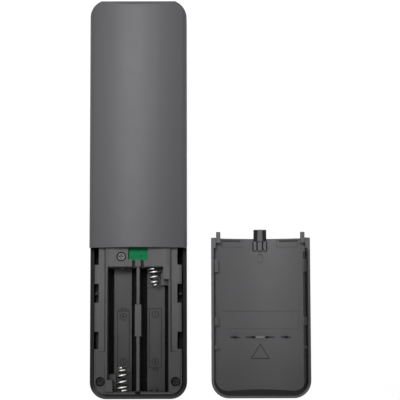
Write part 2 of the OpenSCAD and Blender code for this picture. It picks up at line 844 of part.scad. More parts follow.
module front_shell() {
    color([0.09, 0.09, 0.10])
        difference() {
            union() {
                difference() {
                    front_solid();
                    translate([0, 0, front_t])
                        linear_extrude(seam_z)
                            outline(front_inset + front_wall);
                }
                intersection() {
                    translate([0, 0, seam_z - bite])
                        linear_extrude(tongue_h + bite)
                            difference() {
                                outline(front_inset + front_wall - tongue_t);
                                outline(front_inset + front_wall);
                            }
                    block(-big, big, shelf_y + tongue_d, big, 0, body_t);
                }
                for (s = SCREWS)
                    translate([s[0], s[1], front_t - bite])
                        cylinder(d = boss_d, h = boss_top(s) - front_t + bite);
                rocker_ears("volume_rocker");
                rocker_ears("channel_rocker");
            }
            for (s = SCREWS)
                translate([s[0], s[1], s[2] - shank_len - tip_gap])
                    cylinder(r = shank_d / 2 + shank_gap, h = body_t);
            for (k = KEYS)
                translate([k[2][0], k[2][1], -cut])
                    linear_extrude(front_t + 2 * cut)
                        key_plan(k[1], key_gap);
            translate([-sense_x, sense_y, -cut])
                cylinder(d = pipe_d + 2 * irw_gap, h = front_t + 2 * cut);
            translate([sense_x, sense_y, -cut])
                cylinder(d = mic_hole_d, h = front_t + 2 * cut);
            block(-irw_w / 2, irw_w / 2, wall_in_y - cut, wall_y + cut, irw_z - irw_h / 2, irw_z + irw_h / 2);
        }
}

module rear_shell() {
    color([0.42, 0.42, 0.42])
        difference() {
            back_solid(0, seam_y, body_len, seam_z);
            back_solid(wall, seam_y - cut, body_len, 0);
            back_solid(lap_t, seam_y - cut, lip_y + cover_edge_gap, 0);
            // Room for the cover's runners
            both_sides()
                block(tray_side, big, seam_y - cut, lip_y + 2 * cover_edge_gap,
                    seam_z - cut, cover_z0 + runner_h + cover_edge_gap);
            intersection() {
                translate([0, 0, seam_z - cut])
                    linear_extrude(tongue_h + tongue_gap + cut)
                        outline(front_inset + front_wall - tongue_t - tongue_gap);
                block(-big, big, shelf_y, big, 0, body_t);
            }
        }
}

module corner_block() {
    block(bay_half - corner_block_w, bay_half + bite, bay_y1 - corner_block_len, bay_y1 + bite,
        front_t, plateau_z);
    block(bay_half - ledge_w, bay_half + bite, bay_y1 - corner_block_len - ledge_len, bay_y1 - bite,
        front_t, ledge_z);
}

module battery_tray() {
    color([0.27, 0.27, 0.28])
        difference() {
            union() {
                difference() {
                    intersection() {
                        back_solid(tray_inset, -body_len, shelf_y, front_t);
                        block(-big, big, -big, big, 0, plateau_z);
                    }
                    // Side rails
                    both_sides()
                        block(rail_x, big, end_y + rail_d, shelf_y + cut, rail_z, big);
                    // Cell troughs, open to the front shell beside the strips
                    block(-bay_half, bay_half, bay_y0, bay_y1, front_t - cut, big);
                    // Hollow sides
                    both_sides()
                        block(bay_half + tray_wall, tray_side - tray_wall, end_y + hollow_d, bay_y1,
                            front_t - cut, rail_z - tray_skin);
                    // Hollow under the plateau
                    block(-tray_side + tray_wall, tray_side - tray_wall, bay_y1 + tray_wall, shelf_y + cut,
                        front_t - cut, rail_z - tray_skin);
                    block(-rail_x + tray_wall, rail_x - tray_wall, bay_y1 + tray_wall, shelf_y + cut,
                        front_t - cut, skin_z);
                    // Room for the circuit board under the tray's sides
                    block(-big, big, bay_y1 + tray_wall, shelf_y + cut, 0, board_top + board_gap);
                }
                // Cell strips
                for (x = [-cell_x, cell_x + strip_shift])
                    block(x - strip_w / 2, x + strip_w / 2, bay_y0 - bite, bay_y1 + bite,
                        front_t, strip_z);
                // Divider, its foot under the bridge plate and its thick block
                block(-divider_t / 2, divider_t / 2, bay_y0 + plate_t + plate_gap, bay_y1 + bite,
                    front_t, divider_z);
                block(-divider_t / 2, divider_t / 2, bay_y0 - bite, bay_y1 - bite,
                    front_t, plate_z0 - foot_gap);
                block(-block_w / 2, block_w / 2, bay_y0 + block_d, bay_y0 + block_d + block_len,
                    front_t, divider_z + block_rise);
                corner_block();
                translate([0, bay_y0 + bay_y1, 0])
                    rotate([0, 0, 180])
                        corner_block();
                // Boss of the upper screw
                translate([-top_screw_x, top_screw_y, boss_top(SCREWS[0])])
                    cylinder(d = boss_d, h = skin_z + bite - boss_top(SCREWS[0]));
            }
            for (s = SCREWS) {
                translate([s[0], s[1], s[2]])
                    cylinder(d = bore_d, h = body_t);
                translate([s[0], s[1], 0])
                    cylinder(d = hole_d, h = body_t);
            }
            // Pockets for the front shell's lower bosses
            for (s = [SCREWS[1], SCREWS[2]])
                translate([s[0], s[1], 0])
                    cylinder(d = boss_d + 2 * boss_gap, h = boss_top(s));
            // Window over the contact board, and the two contact slots below it
            block(-window_w / 2, window_w / 2, window_y, shelf_y - window_margin, skin_z - cut, big);
            for (s = [-1, 1])
                block(s * slot_x - slot_w / 2, s * slot_x + slot_w / 2, bay_y1 - cut, window_y + bite,
                    tail_z, big);
            // Notches for the cover's hooks and tabs, and the groove that the hooks run along
            both_sides() {
                block(notch_x, big, notch_low_y, notch_low_y + notch_low_len, notch_z, big);
                block(notch_x, big, notch_high_y, shelf_y + cut, notch_z, big);
                difference() {
                    block(notch_x, big, notch_mid_y, notch_mid_y + notch_mid_len, notch_z, big);
                    block(tray_side - tray_wall, big, post_y, post_y + post_len, 0, post_z);
                }
                block(tray_side + cover_gap - hook_in - hook_room, big, end_y + rail_d, shelf_y + cut,
                    hook_z - hook_room, hook_z + hook_h + hook_room);
            }
            // Low rebate along the lower end, and the notch in the end wall
            block(-big, big, -big, bay_y0 + rebate_in, rebate_z, big);
            block(-end_notch_w / 2, end_notch_w / 2, bay_y0 - bay_end_wall + end_notch_skin, bay_y0 + bite,
                rebate_z - end_notch_h, big);
        }
}

// A stretch of the cross rib, from a height up into the cover's wall
module cross_rib(x0, x1, z0) {
    y = seam_y - rib_y;
    block(x0, x1, y - rib_t / 2, y + rib_t / 2, z0, inner_z(max(abs(x0), abs(x1))) + rib_root);
}

// Plan of the cover's hollow: rounded at the lower end, square at the upper one
module hollow_plan(half, y0, r) {
    for (s = [-1, 1])
        translate([s * (half - r), y0 + r])
            circle(r = r);
    translate([-half, shoulder_y - r])
        square([2 * half, r]);
}

// The cover's hollow: leaning walls under the crown, then a narrower stretch under the lip
module cover_hollow() {
    intersection() {
        translate([0, lip_y + cut, crown_c])
            rotate([90, 0, 0])
                cylinder(r = crown_r - wall, h = body_len, $fn = 360);
        union() {
            hull() {
                translate([0, 0, cover_z0 - cut])
                    linear_extrude(cut)
                        hollow_plan(rim_half, rim_y, corner_r + cover_flare - rim_t);
                translate([0, 0, floor_z])
                    linear_extrude(cut)
                        hollow_plan(rim_half - side_lean, rim_y + end_lean, floor_r);
            }
            block(-lip_half, lip_half, shoulder_y - cut, lip_y + cut, 0, big);
        }
    }
}

// Battery cover, in its closed place
module cover_closed() {
    union() {
        difference() {
            union() {
                back_solid(-cover_flare, -body_len, cover_y1, cover_z0);
                back_solid(lip_inset, shoulder_y, lip_y, cover_z0);
                // Runners along the lip
                difference() {
                    back_solid(-cover_flare, cover_y1 - bite, lip_y - tab_inset, cover_z0);
                    block(-big, big, -big, big, cover_z0 + runner_h, big);
                    block(-cover_in, cover_in, -big, big, 0, big);
                }
            }
            cover_hollow();
            // Two long grooves along the lip
            both_sides()
                intersection() {
                    back_solid(wall - lip_groove, cover_y1 + groove_in, lip_y - groove_out, 0);
                    block(groove_x, groove_x + groove_len, -big, big, 0, big);
                }
        }
        both_sides() {
            // Tabs
            block(cover_in - tab_w, cover_in - tab_inset, lip_y - tab_root, lip_y + tab_len,
                tab_z, tab_z + tab_h);
            block(cover_in - tab_w, cover_in + bite, lip_y - tab_root - bite, lip_y - tab_inset,
                tab_z, tab_z + tab_h);
            // Side hooks
            for (i = [0 : len(hook_d) - 1])
                block(cover_in - hook_in, rim_half + bite, seam_y - hook_d[i] - hook_len[i],
                    seam_y - hook_d[i], hook_z, hook_z + hook_h);
            // Side ribs
            cross_rib(side_rib_x, side_rib_x + side_rib_len, inner_z(side_rib_x + side_rib_len) - relief);
        }
        // Latch head and its root
        block(-latch_w / 2, latch_w / 2, lip_y - latch_back, lip_y + latch_len,
            latch_z1 - latch_h + latch_strip_h, latch_z1);
        block(-latch_strip_w / 2, latch_strip_w / 2, lip_y - latch_back, lip_y + latch_len,
            latch_z1 - latch_h, latch_z1);
        difference() {
            block(-latch_w / 2, latch_w / 2, cover_y1 - latch_root, lip_y - latch_back + bite,
                latch_z1 - latch_root_t, body_t - wall + bite);
            for (s = [-1, 1])
                block(s * latch_slot_x - latch_slot_w / 2, s * latch_slot_x + latch_slot_w / 2,
                    cover_y1 - latch_root - cut, lip_y - latch_back, 0, body_t - wall);
            block(-big, big, cover_y1, big, latch_z1, big);
        }
        // Round mark, thicker band and cross rib
        translate([0, seam_y - mark_y, inner_z(0) - relief])
            cylinder(d = mark_d, h = relief + bite);
        intersection() {
            difference() {
                back_solid(wall - bite, -body_len, cover_y1, cover_z0);
                back_solid(wall + band_t, -body_len - cut, cover_y1, 0);
            }
            block(-edge_x + band_margin, edge_x - band_margin, seam_y - band_d - band_len,
                seam_y - band_d, seam_z, big);
        }
        cross_rib(-rib_half, rib_half, inner_z(rib_half) - relief);
        cross_rib(-rib_mid, rib_mid, inner_z(0) - rib_h);
    }
}

module battery_cover() {
    color([0.35, 0.35, 0.36])
        translate([cover_x, cover_y, cover_top])
            rotate([0, 180, 0])
                cover_closed();
}

// Boards and what they carry

module circuit_board() {
    color([0.05, 0.30, 0.18])
        translate([0, 0, board_z])
            linear_extrude(board_t)
                difference() {
                    translate([0, (board_y0 + board_y1) / 2])
                        rounded_rect(board_w, board_y1 - board_y0, board_r);
                    translate([-top_screw_x, top_screw_y])
                        circle(d = boss_d + 2 * boss_gap);
                    translate([-lamp_slot_w / 2, lamp_slot_y])
                        square([lamp_slot_w, big]);
                    // Narrower under the tray's upper notches
                    for (m = [0, 1])
                        mirror([m, 0])
                            translate([notch_x - board_gap, shelf_y - big])
                                square(big);
                }
}

module contact_board() {
    color([0.05, 0.42, 0.25])
        block(contact_x - contact_w / 2, contact_x + contact_w / 2, contact_y, contact_y + contact_len,
            skin_z - board_t, skin_z);
}

module link_pins() {
    color([0.80, 0.66, 0.30])
        for (s = [-1, 1])
            translate([contact_x + s * pin_pitch / 2, contact_y + contact_len - pin_d, 0])
                block(-pin_w / 2, pin_w / 2, -pin_w / 2, pin_w / 2, board_top, skin_z - board_t);
}

module keypad_membrane() {
    color([0.62, 0.62, 0.60])
        translate([0, 0, membrane_z])
            linear_extrude(membrane_t)
                difference() {
                    translate([0, (membrane_y + board_y1) / 2])
                        rounded_rect(board_w, board_y1 - membrane_y, board_r);
                    translate([-lamp_slot_w / 2, lamp_slot_y])
                        square([lamp_slot_w, big]);
                    translate([-sense_x, sense_y])
                        square([led_w + 2 * sense_gap, led_len + 2 * sense_gap], center = true);
                    translate([sense_x, sense_y])
                        square([mic_w + 2 * sense_gap, mic_len + 2 * sense_gap], center = true);
                }
}

module on_board(x, y, w, l, h) {
    block(x - w / 2, x + w / 2, y - l / 2, y + l / 2, board_top, board_top + h);
}

module under_board(x, y, w, l, h) {
    block(x - w / 2, x + w / 2, y - l / 2, y + l / 2, board_z - h, board_z);
}

module main_chip() {
    color([0.06, 0.06, 0.07])
        on_board(chip_x, chip_y, chip_w, chip_w, chip_h);
}

module radio_can() {
    color([0.75, 0.76, 0.78])
        on_board(can_x, can_y, can_w, can_len, can_h);
}

module crystal() {
    color([0.78, 0.78, 0.80])
        on_board(crystal_x, crystal_y, crystal_w, crystal_len, crystal_h);
}

module capacitors() {
    color([0.15, 0.16, 0.30])
        for (y = [cap_y, cap_y + cap_pitch])
            translate([cap_x, y, board_top])
                cylinder(d = cap_d, h = cap_h);
}

module ir_lamp() {
    color([0.30, 0.22, 0.38])
        union() {
            translate([0, lamp_y + lamp_len, irw_z])
                sphere(d = lamp_d);
            translate([0, lamp_y + lamp_len, irw_z])
                rotate([90, 0, 0])
                    cylinder(d = lamp_d, h = lamp_len);
            for (s = [-1, 1])
                translate([s * lamp_d / 4, 0, 0]) {
                    block(-lead_w / 2, lead_w / 2, lead_y, lamp_y + bite,
                        irw_z - lead_w / 2, irw_z + lead_w / 2);
                    block(-lead_w / 2, lead_w / 2, lead_y, lead_y + lead_w,
                        irw_z - lead_w / 2, board_top + lead_w);
                    block(-lead_w / 2, lead_w / 2, lead_y - lead_foot, lead_y + lead_w,
                        board_top, board_top + lead_w);
                }
        }
}

module ir_window() {
    color([0.10, 0.04, 0.06])
        union() {
            block(-irw_w / 2 + irw_gap, irw_w / 2 - irw_gap, wall_in_y - irw_flange, wall_y + irw_proud,
                irw_z - irw_h / 2 + irw_gap, irw_z + irw_h / 2 - irw_gap);
            block(-irw_w / 2 - irw_edge, irw_w / 2 + irw_edge, wall_in_y - irw_flange, wall_in_y,
                irw_z - irw_h / 2 - irw_edge, irw_z + irw_h / 2 + irw_edge);
        }
}

module status_lamp() {
    color([0.85, 0.30, 0.25])
        under_board(-sense_x, sense_y, led_w, led_len, led_h);
}

module light_pipe() {
    color([0.90, 0.90, 0.88])
        translate([-sense_x, sense_y, key_recess])
            cylinder(d = pipe_d, h = board_z - led_h - key_recess);
}

module microphone() {
    color([0.72, 0.66, 0.45])
        under_board(sense_x, sense_y, mic_w, mic_len, mic_h);
}

// Battery contacts

// A plate on the upper end wall of the bay, with an arm and a tail to the contact board
module end_plate(side) {
    x0 = cell_x - plate_w / 2;
    translate([0, bay_y1, 0])
        mirror([side < 0 ? 1 : 0, 0, 0]) {
            block(x0, x0 + plate_w, -plate_t, 0, plate_z0, plate_z1);
            block(slot_x - tail_w / 2, x0 + arm_lap, -plate_t, 0, cell_z + arm_rise, plate_z1);
            block(slot_x - tail_w / 2, slot_x + tail_w / 2, -plate_t, window_d + tail_end,
                tail_z, plate_z1);
        }
}

module positive_plate() {
    color([0.80, 0.80, 0.82]) {
        end_plate(-1);
        translate([-cell_x, bay_y1 - plate_t / 2, cell_z])
            rotate([90, 0, 0])
                cylinder(r = dimple_r, h = dimple_h + plate_t / 2);
    }
}

module negative_plate() {
    color([0.80, 0.80, 0.82])
        end_plate(1);
}

module bridge_plate() {
    color([0.80, 0.80, 0.82]) {
        block(-cell_x - plate_w / 2, cell_x + plate_w / 2, bay_y0, bay_y0 + plate_t,
            plate_z0, plate_z1);
        translate([cell_x, bay_y0 + plate_t / 2, cell_z])
            rotate([-90, 0, 0])
                cylinder(r = dimple_r, h = dimple_h + plate_t / 2);
    }
}

// Springs: a wire that leaves its plate square, bends into a tapering helix and ends square to the cell
function turn_point(r, a, y) = [r * cos(a), y, -r * sin(a)];
function spring_rings(len, turns) =
    let (
        r0 = (spring_d0 - wire_d) / 2,
        r1 = (spring_d1 - wire_d) / 2,
        a0 = spring_bend / r0 * 180 / PI,
        a1 = spring_bend / r1 * 180 / PI,
        ya = wire_d + spring_bend,
        yb = len - wire_d - spring_bend,
        n = 8 * turns,
        a2 = a0 + 360 * turns
    )
    concat(
        [[r0, 0, 0], [r0, 0, wire_d]],
        [for (s = [0.25 : 0.25 : 1]) [r0, a0 * s * s, wire_d + spring_bend * (2 * s - s * s)]],
        [for (i = [1 : n]) [r0 + (r1 - r0) * i / n, a0 + 360 * turns * i / n, ya + (yb - ya) * i / n]],
        [for (s = [0.25 : 0.25 : 1]) [r1, a2 + a1 * (2 * s - s * s), yb + spring_bend * s * s]],
        [[r1, a2 + a1, len]]
    );
function spring_line(len, turns) =
    [for (k = spring_rings(len, turns)) turn_point(k[0], k[1], k[2])];
function unit(v) = v / norm(v);
function spring_points(len, turns) =
    let (
        rings = spring_rings(len, turns),
        line = spring_line(len, turns),
        last = len(line) - 1
    )
    [for (i = [0 : last], f = [0 : 5])
        let (
            along = i == 0 || i == last ? [0, 1, 0] : unit(line[i + 1] - line[i - 1]),
            flat = [cos(rings[i][1]), 0, -sin(rings[i][1])],
            out = unit(flat - along * (flat * along)),
            side = cross(along, out)
        )
        line[i] + wire_d / 2 * (cos(60 * f) * out + sin(60 * f) * side)];
function spring_gap(len, turns) =
    let (line = spring_line(len, turns), last = len(line) - 1)
    min([for (i = [0 : last - 6], j = [i + 6 : last]) norm(line[i] - line[j])]) - wire_d;

module spring(length, turns) {
    points = spring_points(length, turns);
    rings = len(points) / 6;
    echo(spring_least_gap = spring_gap(length, turns), rings = rings);
    polyhedron(
        points = points,
        faces = concat(
            [[5, 4, 3, 2, 1, 0]],
            [for (i = [0 : rings - 2], f = [0 : 5], h = [0, 1])
                let (a = 6 * i + f, b = 6 * i + (f + 1) % 6)
                h == 0 ? [a, b, b + 6] : [a, b + 6, a + 6]],
            [[for (f = [0 : 5]) 6 * (rings - 1) + f]]
        ),
        convexity = 10
    );
}

module bridge_spring() {
    color([0.80, 0.80, 0.82])
        translate([-cell_x, bay_y0 + plate_t, cell_z])
            spring(spring_len_a, spring_turns_a);
}

module negative_spring() {
    color([0.80, 0.80, 0.82])
        translate([cell_x, bay_y1 - plate_t, cell_z])
            rotate([0, 0, 180])
                spring(spring_len_b, spring_turns_b);
}

// Screws: pan heads with a crossed recess
module case_screws() {
    color([0.55, 0.55, 0.57])
        for (s = SCREWS)
            translate(s)
                difference() {
                    union() {
                        cylinder(d = head_d, h = head_h);
                        translate([0, 0, -shank_len])
                            cylinder(d = shank_d, h = shank_len + bite);
                    }
                    for (a = [0, 90])
                        rotate([0, 0, a])
                            block(-cross_half, cross_half, -cross_w / 2, cross_w / 2,
                                head_h - cross_h, head_h + cut);
                }
}

// Keys by name
module power_key() color([0.75, 0.12, 0.12]) push_key("power_key");
module voice_key() color([0.16, 0.16, 0.17]) push_key("voice_key");
module source_key() color([0.16, 0.16, 0.17]) push_key("source_key");
module up_key() color([0.20, 0.20, 0.21]) push_key("up_key");
module left_key() color([0.20, 0.20, 0.21]) push_key("left_key");
module down_key() color([0.20, 0.20, 0.21]) push_key("down_key");
module right_key() color([0.20, 0.20, 0.21]) push_key("right_key");
module ok_key() color([0.24, 0.24, 0.25]) push_key("ok_key");
module back_key() color([0.16, 0.16, 0.17]) push_key("back_key");
module home_key() color([0.16, 0.16, 0.17]) push_key("home_key");
module menu_key() color([0.16, 0.16, 0.17]) push_key("menu_key");
module volume_rocker() color([0.16, 0.16, 0.17]) rocker("volume_rocker");
module channel_rocker() color([0.16, 0.16, 0.17]) rocker("channel_rocker");
module mute_key() color([0.16, 0.16, 0.17]) push_key("mute_key");
module info_key() color([0.16, 0.16, 0.17]) push_key("info_key");
module rewind_key() color([0.16, 0.16, 0.17]) push_key("rewind_key");
module play_key() color([0.16, 0.16, 0.17]) push_key("play_key");
module forward_key() color([0.16, 0.16, 0.17]) push_key("forward_key");
module red_key() color([0.70, 0.10, 0.10]) push_key("red_key");
module green_key() color([0.10, 0.50, 0.20]) push_key("green_key");
module yellow_key() color([0.85, 0.70, 0.10]) push_key("yellow_key");
module blue_key() color([0.10, 0.25, 0.65]) push_key("blue_key");

front_shell();
rear_shell();
battery_tray();
battery_cover();
circuit_board();
contact_board();
link_pins();
keypad_membrane();
main_chip();
radio_can();
crystal();
capacitors();
ir_lamp();
ir_window();
status_lamp();
light_pipe();
microphone();
positive_plate();
negative_plate();
bridge_plate();
negative_spring();
bridge_spring();
case_screws();
power_key();
voice_key();
source_key();
up_key();
left_key();
down_key();
right_key();
ok_key();
back_key();
home_key();
menu_key();
volume_rocker();
channel_rocker();
mute_key();
info_key();
rewind_key();
play_key();
forward_key();
red_key();
green_key();
yellow_key();
blue_key();
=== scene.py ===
"""A universal remote control lying face down with its battery bay open, and its cover off beside it."""

import json
import math

import bmesh
import bpy
from mathutils import Matrix, Vector
from mathutils.bvhtree import BVHTree

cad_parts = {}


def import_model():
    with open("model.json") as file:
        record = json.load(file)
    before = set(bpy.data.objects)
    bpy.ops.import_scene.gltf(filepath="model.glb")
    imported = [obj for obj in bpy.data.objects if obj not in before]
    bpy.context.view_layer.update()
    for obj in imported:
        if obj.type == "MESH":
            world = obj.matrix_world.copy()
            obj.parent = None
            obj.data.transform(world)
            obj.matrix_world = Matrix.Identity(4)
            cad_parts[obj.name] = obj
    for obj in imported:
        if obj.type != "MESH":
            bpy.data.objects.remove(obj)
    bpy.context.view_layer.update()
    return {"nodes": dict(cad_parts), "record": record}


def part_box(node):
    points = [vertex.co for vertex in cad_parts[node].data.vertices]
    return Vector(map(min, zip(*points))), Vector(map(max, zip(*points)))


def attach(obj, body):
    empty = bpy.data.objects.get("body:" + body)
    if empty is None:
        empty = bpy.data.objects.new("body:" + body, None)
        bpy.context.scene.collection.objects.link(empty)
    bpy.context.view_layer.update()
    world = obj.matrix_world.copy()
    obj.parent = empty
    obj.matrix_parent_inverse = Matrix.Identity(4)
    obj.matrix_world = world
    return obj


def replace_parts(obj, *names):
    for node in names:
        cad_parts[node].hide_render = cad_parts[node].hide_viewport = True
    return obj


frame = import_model()
nodes = frame["nodes"]
scene = bpy.context.scene
MM = 0.001

# Camera

TILT = 0.10424
ROLL = -0.00255
DISTANCE = 0.6
AIM = Vector((0.02425, 0.000549, 0))
SENSOR = 36
LENS = 134.7
camera_data = bpy.data.cameras.new("camera")
camera_data.sensor_width = SENSOR
camera_data.lens = LENS
camera = bpy.data.objects.new("camera", camera_data)
scene.collection.objects.link(camera)
camera.matrix_world = (
    Matrix.Translation(AIM + DISTANCE * Vector((0, -math.sin(TILT), math.cos(TILT))))
    @ Matrix.Rotation(TILT, 4, "X")
    @ Matrix.Rotation(ROLL, 4, "Z")
)
scene.camera = camera
scene.view_settings.view_transform = "Standard"


# Light, floor and background


def add(tree, kind, **values):
    """A new node, with its properties or its input sockets set by name."""
    node = tree.nodes.new(kind)
    for key, value in values.items():
        if key in node.inputs:
            node.inputs[key].default_value = value
        else:
            setattr(node, key, value)
    return node


def larger(tree, a, b):
    node = add(tree, "ShaderNodeMath", operation="MAXIMUM")
    tree.links.new(a, node.inputs[0])
    tree.links.new(b, node.inputs[1])
    return node.outputs[0]


def mixed(tree, share, a, b):
    """Shader a where the share is 0, and shader b where it is 1."""
    node = add(tree, "ShaderNodeMixShader")
    tree.links.new(share, node.inputs[0])
    tree.links.new(a.outputs[0], node.inputs[1])
    tree.links.new(b.outputs[0], node.inputs[2])
    return node


def seen_by_lens(tree, path):
    """1 for rays that show the background itself: camera, glossy and transmission rays."""
    seen = larger(tree, path.outputs["Is Camera Ray"], path.outputs["Is Glossy Ray"])
    return larger(tree, seen, path.outputs["Is Transmission Ray"])


WHITE = (1, 1, 1, 1)
AMBIENT = 0.06


def make_world():
    """A white background that lights the object only dimly."""
    world = bpy.data.worlds.new("studio")
    world.use_nodes = True
    scene.world = world
    tree = world.node_tree
    tree.nodes.clear()
    path = add(tree, "ShaderNodeLightPath")
    dim = add(tree, "ShaderNodeBackground", Color=WHITE, Strength=AMBIENT)
    white = add(tree, "ShaderNodeBackground", Color=WHITE, Strength=1.0)
    shown = mixed(tree, seen_by_lens(tree, path), dim, white)
    end = add(tree, "ShaderNodeOutputWorld")
    tree.links.new(shown.outputs[0], end.inputs["Surface"])


def softbox(name, place, aim, width, height, power, spread):
    data = bpy.data.lights.new(name, "AREA")
    data.shape = "RECTANGLE"
    data.size = width
    data.size_y = height
    data.energy = power
    data.spread = math.radians(spread)
    lamp = bpy.data.objects.new(name, data)
    lamp.location = place
    lamp.rotation_euler = (Vector(aim) - Vector(place)).to_track_quat("-Z", "Y").to_euler()
    scene.collection.objects.link(lamp)


SQUARE = ((-1, -1), (1, -1), (1, 1), (-1, 1))
FLOOR_Z = -0.00005
FLOOR_REACH = 2
FLOOR_GREY = 0.15
FLOOR_GLOW = 0.96


def make_floor():
    """A white sheet that keeps the object's shadow, and that is clear from below and to shadow rays."""
    mesh = bpy.data.meshes.new("floor")
    corners = [(x * FLOOR_REACH, y * FLOOR_REACH, FLOOR_Z) for x, y in SQUARE]
    mesh.from_pydata(corners, [], [(0, 1, 2, 3)])
    floor = bpy.data.objects.new("floor", mesh)
    scene.collection.objects.link(floor)
    paper = bpy.data.materials.new("paper")
    paper.use_nodes = True
    tree = paper.node_tree
    tree.nodes.clear()
    path = add(tree, "ShaderNodeLightPath")
    side = add(tree, "ShaderNodeNewGeometry")
    matt = add(tree, "ShaderNodeBsdfDiffuse", Color=(FLOOR_GREY, FLOOR_GREY, FLOOR_GREY, 1))
    glow = add(tree, "ShaderNodeEmission", Color=WHITE, Strength=FLOOR_GLOW)
    dark = add(tree, "ShaderNodeEmission", Color=(0, 0, 0, 1), Strength=0.0)
    clear = add(tree, "ShaderNodeBsdfTransparent")
    lit = mixed(tree, seen_by_lens(tree, path), dark, glow)
    sheet = add(tree, "ShaderNodeAddShader")
    tree.links.new(matt.outputs[0], sheet.inputs[0])
    tree.links.new(lit.outputs[0], sheet.inputs[1])
    through = larger(tree, side.outputs["Backfacing"], path.outputs["Is Shadow Ray"])
    shown = mixed(tree, through, sheet, clear)
    end = add(tree, "ShaderNodeOutputMaterial")
    tree.links.new(shown.outputs[0], end.inputs["Surface"])
    mesh.materials.append(paper)


make_world()
softbox("overhead", place=(-0.055, 0.15, 0.5), aim=(-0.006, 0.06, 0),
        width=0.32, height=0.2, power=0.125, spread=34)
softbox("low_front", place=(0.02, -0.55, 0.14), aim=(0.02, -0.075, 0),
        width=0.25, height=0.25, power=0.7, spread=180)
softbox("underneath", place=(0, 0, -0.5), aim=(0, 0, 0),
        width=0.3, height=0.3, power=3.0, spread=180)
make_floor()


# Materials


def linear(r, g, b):
    """A colour given in the usual 0 to 255 numbers, as the linear numbers that shaders take."""
    values = [c / 255 for c in (r, g, b)]
    return [c / 12.92 if c <= 0.04045 else ((c + 0.055) / 1.055) ** 2.4 for c in values]


def compare(t, operation, value, limit):
    node = add(t, "ShaderNodeMath", operation=operation)
    node.inputs[1].default_value = limit
    t.links.new(value, node.inputs[0])
    return node.outputs[0]


def over(t, value, limit):
    """1 where a value is above its limit, and 0 elsewhere."""
    return compare(t, "GREATER_THAN", value, limit)


def under(t, value, limit):
    """1 where a value is below its limit, and 0 elsewhere."""
    return compare(t, "LESS_THAN", value, limit)


def product(t, first, *others):
    for other in others:
        node = add(t, "ShaderNodeMath", operation="MULTIPLY")
        t.links.new(first, node.inputs[0])
        t.links.new(other, node.inputs[1])
        first = node.outputs[0]
    return first


def ramp(t, value, zero, one):
    """0 where a value is at zero, 1 where it is at one, and even between."""
    node = add(t, "ShaderNodeMapRange")
    node.inputs["From Min"].default_value = zero
    node.inputs["From Max"].default_value = one
    t.links.new(value, node.inputs["Value"])
    return node.outputs["Result"]


def parts(t, vector):
    node = add(t, "ShaderNodeSeparateXYZ")
    t.links.new(vector, node.inputs[0])
    return node.outputs


# A mask says where on a piece another colour goes; these masks place painted shade and painted light. Lengths
# are in metres, in the part's frame.
ANY_HEIGHT = -1.0
ANY_LEAN = -2.0


def before(split, soft=0.00001, above=ANY_HEIGHT):
    """Where the surface lies before split along Y, with a soft edge, and above a level."""
    def mask(t, place):
        _, y, z = parts(t, place.outputs["Object"])[:3]
        return product(t, ramp(t, y, split + soft, split), over(t, z, above))
    return mask


def strip(low, high, end, below, lean=ANY_LEAN, above=ANY_HEIGHT):
    """Where the surface lies between low and high along X, before end along Y, and below one level and above
    another, and its normal's Z is over lean."""
    def mask(t, place):
        x, y, z = parts(t, place.outputs["Object"])[:3]
        normal = parts(t, place.outputs["Normal"])
        return product(t, over(t, x, low), under(t, x, high), under(t, y, end), under(t, z, below),
                       over(t, z, above), over(t, normal["Z"], lean))
    return mask


LOOKS_UP = 0.5


def low_floor(below):
    """Where the surface looks up and lies below a level."""
    def mask(t, place):
        height = parts(t, place.outputs["Object"])["Z"]
        normal = parts(t, place.outputs["Normal"])
        return product(t, under(t, height, below), over(t, normal["Z"], LOOKS_UP))
    return mask


SLOPING, STEEP = 0.75, 0.4


def upright(middle=None):
    """Where the surface stands up, and faces the middle where one is given."""
    def mask(t, place):
        lean = add(t, "ShaderNodeMath", operation="ABSOLUTE")
        t.links.new(parts(t, place.outputs["Normal"])["Z"], lean.inputs[0])
        steep = ramp(t, lean.outputs[0], SLOPING, STEEP)
        if middle is None:
            return steep
        inward = add(t, "ShaderNodeVectorMath", operation="SUBTRACT")
        inward.inputs[0].default_value = middle
        t.links.new(place.outputs["Object"], inward.inputs[1])
        sideways = add(t, "ShaderNodeVectorMath", operation="MULTIPLY")
        sideways.inputs[1].default_value = (1, 1, 0)
        t.links.new(inward.outputs[0], sideways.inputs[0])
        facing = add(t, "ShaderNodeVectorMath", operation="DOT_PRODUCT")
        t.links.new(sideways.outputs[0], facing.inputs[0])
        t.links.new(place.outputs["Normal"], facing.inputs[1])
        return product(t, steep, over(t, facing.outputs["Value"], 0.0))
    return mask


